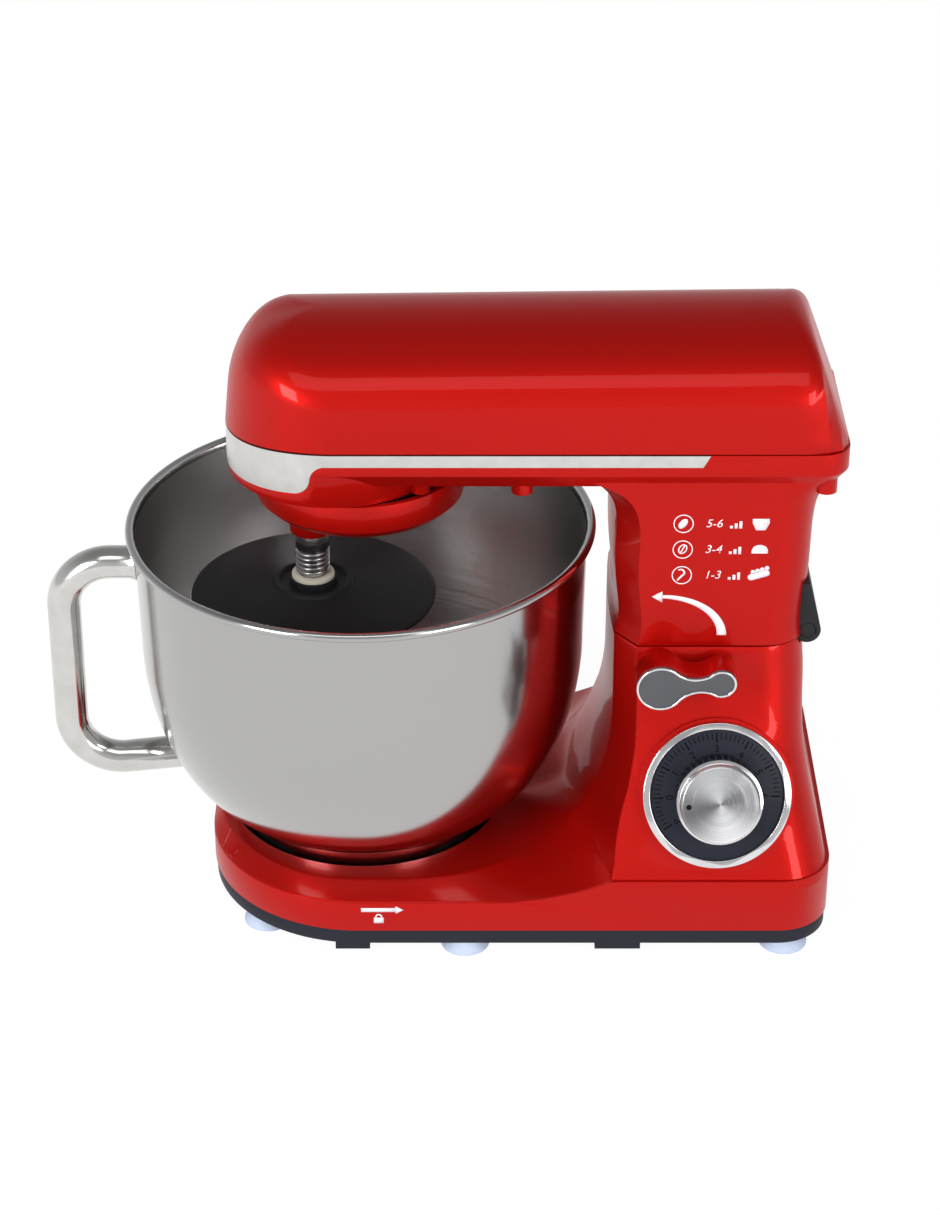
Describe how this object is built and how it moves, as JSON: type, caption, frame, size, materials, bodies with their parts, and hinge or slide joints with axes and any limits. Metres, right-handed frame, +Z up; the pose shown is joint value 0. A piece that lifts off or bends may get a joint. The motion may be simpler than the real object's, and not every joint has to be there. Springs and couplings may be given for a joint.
{
  "type": "stand mixer",
  "caption": "Tilt-head stand mixer with a red metal body, steel bowl with side handle, dough hook under a shield, and a speed dial.",
  "frame": {"origin": "centre of the bounding box at the table surface, under the feet", "axes": "+X from the nose and bowl handle to the column, +Z up, the dial on the -Y side"},
  "size_m": [0.3897, 0.23, 0.3123],
  "materials": {
    "red_paint": "candy metallic under clear coat",
    "bowl_steel": "polished outside, spun inside",
    "chrome": "bright",
    "silver_trim": "satin",
    "cast_aluminium": "fine turned",
    "black_plastic": "fine grain",
    "dial_black": "satin",
    "plate_grey": "fine grain",
    "milky_silicone": "milky, translucent",
    "cream_nylon": "satin",
    "black_rubber": "matt",
    "steel": "machined",
    "bronze": "sintered",
    "iron": "laminated, lacquered",
    "board_green": "resin board",
    "gear_nylon": "moulded"
  },
  "bodies": {
    "stand": {"base_shell": "red_paint", "bottom_plate": "plate_grey", "suction_feet": "milky_silicone", "plate_screws": "steel", "control_board": "board_green", "cord_gland": "black_rubber", "bowl_seat": "black_plastic", "seat_screws": "steel", "hinge_bracket": "iron", "hinge_pin": "chrome", "rest_pads": "black_rubber", "dial_bezel": "chrome", "dial_face": "dial_black", "speed_switch": "black_plastic", "switch_nut": "steel", "lever_bush": "black_plastic"},
    "head": {"head_top_cover": "red_paint", "trim_band": "silver_trim", "head_lower_housing": "red_paint", "head_screws": "steel", "hinge_cover": "black_plastic", "ring_gear": "steel", "gear_plate": "steel", "bearing_bushes": "bronze", "drive_belt": "black_rubber", "motor_stator": "iron", "motor_brackets": "cast_aluminium", "carbon_brushes": "black_plastic", "latch_striker": "steel"},
    "planet_carrier": {"main_shaft": "steel", "main_gear": "gear_nylon", "planetary_cup": "red_paint", "spindle_bush": "bronze"},
    "spindle": {"planet_pinion": "steel", "tool_spindle": "chrome", "cross_pin": "steel", "tool_spring": "steel"},
    "countershaft": {"counter_shaft": "steel", "counter_pinion": "steel", "belt_pulley": "gear_nylon"},
    "motor_rotor": {"motor_shaft": "steel", "commutator": "bronze", "rotor_core": "iron", "cooling_fan": "black_plastic", "motor_pulley": "steel"},
    "tool": {"dough_shield": "black_plastic", "hook_collar": "black_plastic", "spring_washer": "cream_nylon", "dough_hook": "cast_aluminium"},
    "speed_knob": {"knob_body": "chrome", "knob_cap": "chrome", "knob_shaft": "steel"},
    "tilt_lever": {"lever_body": "red_paint", "lever_face": "silver_trim", "lever_shaft": "steel", "latch_hook": "steel"},
    "bowl": {"bowl_shell": "bowl_steel", "bowl_foot_ring": "bowl_steel", "bowl_handle": "bowl_steel"}
  },
  "joints": [
    {"name": "head_tilt", "type": "hinge", "parent": "stand", "child": "head", "pos_m": [0.17925, 0, 0.157], "axis": [0, 1, 0], "range_deg": [0, 35]},
    {"name": "planet_drive", "type": "hinge", "parent": "head", "child": "planet_carrier", "pos_m": [-0.03725, 0, 0.22], "axis": [0, 0, 1], "continuous": true},
    {"name": "spindle_turn", "type": "hinge", "parent": "planet_carrier", "child": "spindle", "pos_m": [-0.06125, 0, 0.2], "axis": [0, 0, 1], "continuous": true},
    {"name": "counter_turn", "type": "hinge", "parent": "head", "child": "countershaft", "pos_m": [0.00775, 0, 0.25], "axis": [0, 0, 1], "continuous": true},
    {"name": "motor_turn", "type": "hinge", "parent": "head", "child": "motor_rotor", "pos_m": [0.13075, 0, 0.21], "axis": [0, 0, 1], "continuous": true},
    {"name": "tool_release", "type": "slide", "parent": "spindle", "child": "tool", "axis": [0, 0, 1], "range_m": [0, 0.0045], "stiffness_N_per_m": 500, "deforming": ["tool_spring"]},
    {"name": "knob_turn", "type": "hinge", "parent": "stand", "child": "speed_knob", "pos_m": [0.13575, -0.082, 0.088], "axis": [0, 0.9336, -0.3584], "range_deg": [-30, 185]},
    {"name": "lever_turn", "type": "hinge", "parent": "stand", "child": "tilt_lever", "pos_m": [0.10695, -0.06, 0.1455], "axis": [0, -1, 0], "range_deg": [0, 50]},
    {"name": "bowl_twist", "type": "hinge", "parent": "stand", "child": "bowl", "pos_m": [-0.03725, 0, 0.04], "axis": [0, 0, 1], "range_deg": [-30, 0]}
  ],
  "couplings": [
    {"joint": "spindle_turn", "follows": "planet_drive", "ratio": -3},
    {"joint": "counter_turn", "follows": "planet_drive", "ratio": -5},
    {"joint": "motor_turn", "follows": "planet_drive", "ratio": -25.714}
  ]
}
